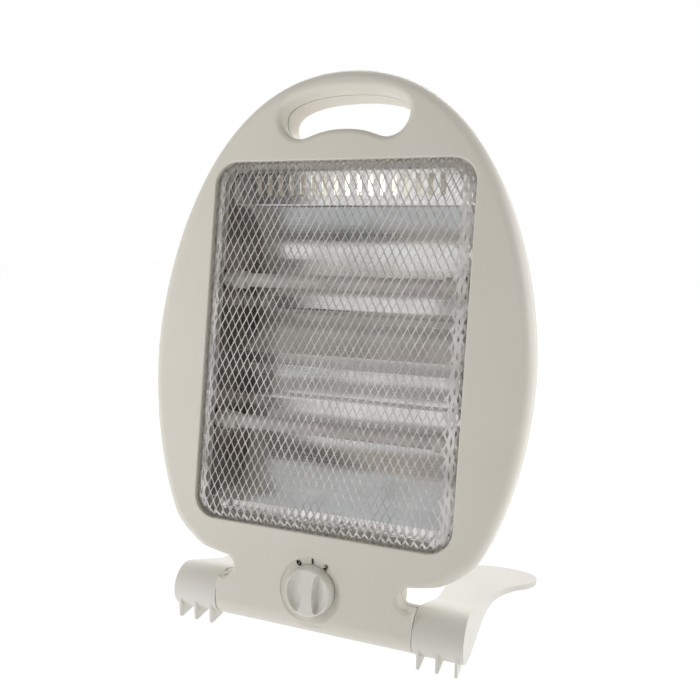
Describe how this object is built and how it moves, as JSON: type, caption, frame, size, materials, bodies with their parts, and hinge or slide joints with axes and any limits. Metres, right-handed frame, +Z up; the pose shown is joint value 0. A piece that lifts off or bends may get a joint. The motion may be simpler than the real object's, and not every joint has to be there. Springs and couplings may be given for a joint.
{
  "type": "two-tube quartz heater",
  "caption": "Free-standing radiant heater: egg-shaped casing with a carry hole, mesh guard over a folded reflector and quartz tubes, rotary power knob and fold-out feet.",
  "frame": {"origin": "on the floor, at the middle of the heater's footprint", "axes": "+Z up, +Y to the heater's back, +X to the right of someone facing the guard; the casing leans back 11.2 degrees about X"},
  "size_m": [0.2692, 0.1506, 0.379],
  "materials": {
    "casing_plastic": "satin moulded ivory",
    "foot_plastic": "satin moulded white",
    "knob_plastic": "gloss moulded white",
    "guard_steel": "bright plated expanded metal",
    "reflector_sheet": "bright anodised aluminium",
    "plated_steel": "zinc plated",
    "quartz": "milky fused quartz",
    "element_wire": "oxidised resistance wire",
    "cap_ceramic": "unglazed steatite",
    "terminal_brass": "plain",
    "black_plastic": "moulded black",
    "block_plastic": "natural nylon",
    "brown_lead": "silicone sleeving",
    "blue_lead": "silicone sleeving"
  },
  "bodies": {
    "root": {"front_shell": "casing_plastic", "rear_shell": "casing_plastic", "left_hub_spigot": "foot_plastic", "right_hub_spigot": "foot_plastic", "guard": "guard_steel", "reflector": "reflector_sheet", "reflector_frame": "reflector_sheet", "left_end_plate": "plated_steel", "right_end_plate": "plated_steel", "upper_left_tube_clip": "plated_steel", "upper_right_tube_clip": "plated_steel", "lower_left_tube_clip": "plated_steel", "lower_right_tube_clip": "plated_steel", "left_switch_screw": "plated_steel", "right_switch_screw": "plated_steel", "crown_left_shell_screw": "plated_steel", "crown_right_shell_screw": "plated_steel", "side_left_shell_screw": "plated_steel", "side_right_shell_screw": "plated_steel", "neck_left_shell_screw": "plated_steel", "neck_right_shell_screw": "plated_steel", "tilt_switch_frame": "plated_steel", "tilt_switch_pin": "plated_steel", "left_hub_circlip": "plated_steel", "right_hub_circlip": "plated_steel", "upper_quartz_tube": "quartz", "lower_quartz_tube": "quartz", "upper_heating_element": "element_wire", "lower_heating_element": "element_wire", "upper_left_end_cap": "cap_ceramic", "upper_right_end_cap": "cap_ceramic", "lower_left_end_cap": "cap_ceramic", "lower_right_end_cap": "cap_ceramic", "upper_left_terminal": "terminal_brass", "upper_right_terminal": "terminal_brass", "lower_left_terminal": "terminal_brass", "lower_right_terminal": "terminal_brass", "rotary_switch": "black_plastic", "tilt_microswitch": "black_plastic", "thermal_cutout": "black_plastic", "cord_inlet_bush": "black_plastic", "terminal_block": "block_plastic", "upper_tube_lead": "brown_lead", "lower_tube_lead": "brown_lead", "return_lead": "blue_lead"},
    "knob": {"control_knob": "knob_plastic", "switch_shaft": "plated_steel"},
    "left_leg": {"left_foot": "foot_plastic"},
    "right_leg": {"right_foot": "foot_plastic"},
    "tilt_bob": {"tilt_weight": "terminal_brass"}
  },
  "joints": [
    {"name": "knob_turn", "type": "hinge", "parent": "root", "child": "knob", "pos_m": [0, -0.06707, 0.0384], "axis": [0, -0.981, 0.1942], "range_deg": [-30, 30]},
    {"name": "left_foot_fold", "type": "hinge", "parent": "root", "child": "left_leg", "pos_m": [-0.088, -0.05554, 0.0194], "axis": [1, 0, 0], "range_deg": [-100, 0]},
    {"name": "right_foot_fold", "type": "hinge", "parent": "root", "child": "right_leg", "pos_m": [0.088, -0.05554, 0.0194], "axis": [1, 0, 0], "range_deg": [-100, 0]},
    {"name": "tilt_weight_swing", "type": "hinge", "parent": "root", "child": "tilt_bob", "pos_m": [-0.0375, -0.05124, 0.04628], "axis": [1, 0, 0], "range_deg": [-15, 15]}
  ]
}
